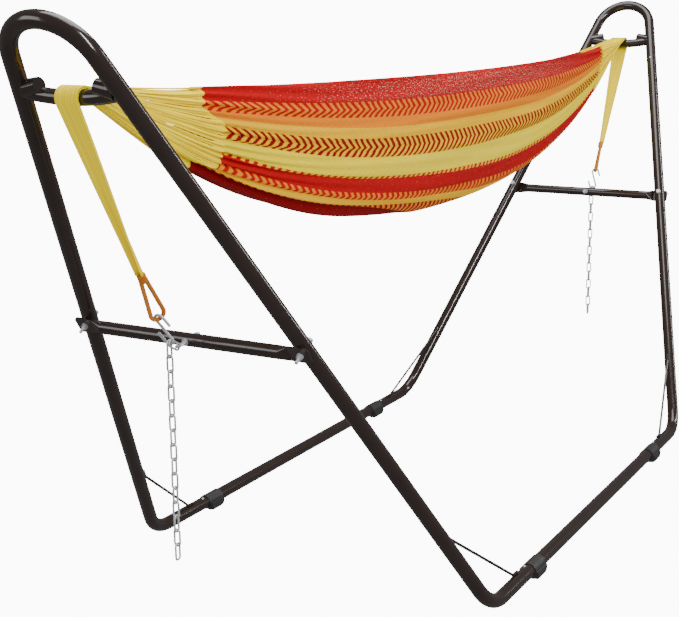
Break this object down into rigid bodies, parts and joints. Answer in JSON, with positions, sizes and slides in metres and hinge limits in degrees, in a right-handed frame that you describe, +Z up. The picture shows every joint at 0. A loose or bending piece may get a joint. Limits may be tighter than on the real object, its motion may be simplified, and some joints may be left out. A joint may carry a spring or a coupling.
{
  "type": "hammock on stand",
  "caption": "Woven string hammock hung by its tail ropes over a free-standing black steel tube stand with hooks and chains.",
  "frame": {"origin": "on the floor under the middle of the stand", "axes": "+X runs along the hammock from the front end to the rear end, +Z is up, +Y is the left side; the front and rear ends mirror each other"},
  "size_m": [3.59, 1.124, 1.5272],
  "materials": {
    "painted_tube": "gloss powder coat",
    "black_plastic": "moulded",
    "zinc_steel": "zinc plated",
    "woven_cord": "thin cotton cord, woven in stripes",
    "yellow_cord": "thin cotton cord, unwoven",
    "whipped_rope": "tightly wound cord"
  },
  "bodies": {
    "stand": {"front_arch": "painted_tube", "rear_arch": "painted_tube", "front_left_leg": "painted_tube", "front_right_leg": "painted_tube", "rear_left_leg": "painted_tube", "rear_right_leg": "painted_tube", "left_rail": "painted_tube", "right_rail": "painted_tube", "front_saddle_bar": "painted_tube", "rear_saddle_bar": "painted_tube", "front_spreader_bar": "painted_tube", "rear_spreader_bar": "painted_tube", "front_left_brace": "painted_tube", "front_right_brace": "painted_tube", "rear_left_brace": "painted_tube", "rear_right_brace": "painted_tube", "front_left_foot": "black_plastic", "front_right_foot": "black_plastic", "rear_left_foot": "black_plastic", "rear_right_foot": "black_plastic", "button_springs": "zinc_steel", "spreader_bolts": "zinc_steel", "spreader_nuts": "zinc_steel", "spreader_washers": "zinc_steel", "front_eye_bolt": "zinc_steel", "rear_eye_bolt": "zinc_steel", "eye_bolt_nuts": "zinc_steel", "eye_bolt_washers": "zinc_steel", "front_anchor_link": "zinc_steel", "rear_anchor_link": "zinc_steel", "front_hook": "zinc_steel", "rear_hook": "zinc_steel", "front_tail_rope": "yellow_cord", "rear_tail_rope": "yellow_cord", "front_rope_loop": "whipped_rope", "rear_rope_loop": "whipped_rope"},
    "hammock": {"hammock_body": "woven_cord", "front_arm_strings": "yellow_cord", "rear_arm_strings": "yellow_cord"},
    "front_chain_upper_length": {"front_chain_upper": "zinc_steel"},
    "front_chain_middle_length": {"front_chain_middle": "zinc_steel"},
    "front_chain_lower_length": {"front_chain_lower": "zinc_steel"},
    "rear_chain_upper_length": {"rear_chain_upper": "zinc_steel"},
    "rear_chain_middle_length": {"rear_chain_middle": "zinc_steel"},
    "rear_chain_lower_length": {"rear_chain_lower": "zinc_steel"},
    "front_left_arch_push": {"front_left_arch_button": "zinc_steel"},
    "front_right_arch_push": {"front_right_arch_button": "zinc_steel"},
    "rear_left_arch_push": {"rear_left_arch_button": "zinc_steel"},
    "rear_right_arch_push": {"rear_right_arch_button": "zinc_steel"},
    "front_left_rail_push": {"front_left_rail_button": "zinc_steel"},
    "front_right_rail_push": {"front_right_rail_button": "zinc_steel"},
    "rear_left_rail_push": {"rear_left_rail_button": "zinc_steel"},
    "rear_right_rail_push": {"rear_right_rail_button": "zinc_steel"}
  },
  "joints": [
    {"name": "hammock_swing", "type": "hinge", "parent": "stand", "child": "hammock", "pos_m": [0, 0, 1.37708], "axis": [1, 0, 0], "range_deg": [-30, 30]},
    {"name": "front_chain_upper_swing", "type": "hinge", "parent": "stand", "child": "front_chain_upper_length", "pos_m": [-1.40162, 0.0027, 0.79522], "axis": [0, 1, 0], "range_deg": [-20, 20]},
    {"name": "front_chain_middle_swing", "type": "hinge", "parent": "front_chain_upper_length", "child": "front_chain_middle_length", "pos_m": [-1.40162, 0.0027, 0.62382], "axis": [1, 0, 0], "range_deg": [-25, 25]},
    {"name": "front_chain_lower_swing", "type": "hinge", "parent": "front_chain_middle_length", "child": "front_chain_lower_length", "pos_m": [-1.40162, 0.0027, 0.45082], "axis": [0, 1, 0], "range_deg": [-25, 25]},
    {"name": "rear_chain_upper_swing", "type": "hinge", "parent": "stand", "child": "rear_chain_upper_length", "pos_m": [1.40162, 0.0027, 0.79522], "axis": [0, 1, 0], "range_deg": [-20, 20]},
    {"name": "rear_chain_middle_swing", "type": "hinge", "parent": "rear_chain_upper_length", "child": "rear_chain_middle_length", "pos_m": [1.40162, 0.0027, 0.62382], "axis": [1, 0, 0], "range_deg": [-25, 25]},
    {"name": "rear_chain_lower_swing", "type": "hinge", "parent": "rear_chain_middle_length", "child": "rear_chain_lower_length", "pos_m": [1.40162, 0.0027, 0.45082], "axis": [0, 1, 0], "range_deg": [-25, 25]},
    {"name": "front_left_arch_button_press", "type": "slide", "parent": "stand", "child": "front_left_arch_push", "axis": [-0.8387, 0, -0.5446], "range_m": [0, 0.0045], "stiffness_N_per_m": 600, "springref_m": -0.001},
    {"name": "front_right_arch_button_press", "type": "slide", "parent": "stand", "child": "front_right_arch_push", "axis": [-0.8387, 0, -0.5446], "range_m": [0, 0.0045], "stiffness_N_per_m": 600, "springref_m": -0.001},
    {"name": "rear_left_arch_button_press", "type": "slide", "parent": "stand", "child": "rear_left_arch_push", "axis": [0.8387, 0, -0.5446], "range_m": [0, 0.0045], "stiffness_N_per_m": 600, "springref_m": -0.001},
    {"name": "rear_right_arch_button_press", "type": "slide", "parent": "stand", "child": "rear_right_arch_push", "axis": [0.8387, 0, -0.5446], "range_m": [0, 0.0045], "stiffness_N_per_m": 600, "springref_m": -0.001},
    {"name": "front_left_rail_button_press", "type": "slide", "parent": "stand", "child": "front_left_rail_push", "axis": [0, 0.2909, -0.9568], "range_m": [0, 0.0045], "stiffness_N_per_m": 600, "springref_m": -0.001},
    {"name": "front_right_rail_button_press", "type": "slide", "parent": "stand", "child": "front_right_rail_push", "axis": [0, -0.2909, -0.9568], "range_m": [0, 0.0045], "stiffness_N_per_m": 600, "springref_m": -0.001},
    {"name": "rear_left_rail_button_press", "type": "slide", "parent": "stand", "child": "rear_left_rail_push", "axis": [0, 0.2909, -0.9568], "range_m": [0, 0.0045], "stiffness_N_per_m": 600, "springref_m": -0.001},
    {"name": "rear_right_rail_button_press", "type": "slide", "parent": "stand", "child": "rear_right_rail_push", "axis": [0, -0.2909, -0.9568], "range_m": [0, 0.0045], "stiffness_N_per_m": 600, "springref_m": -0.001}
  ]
}
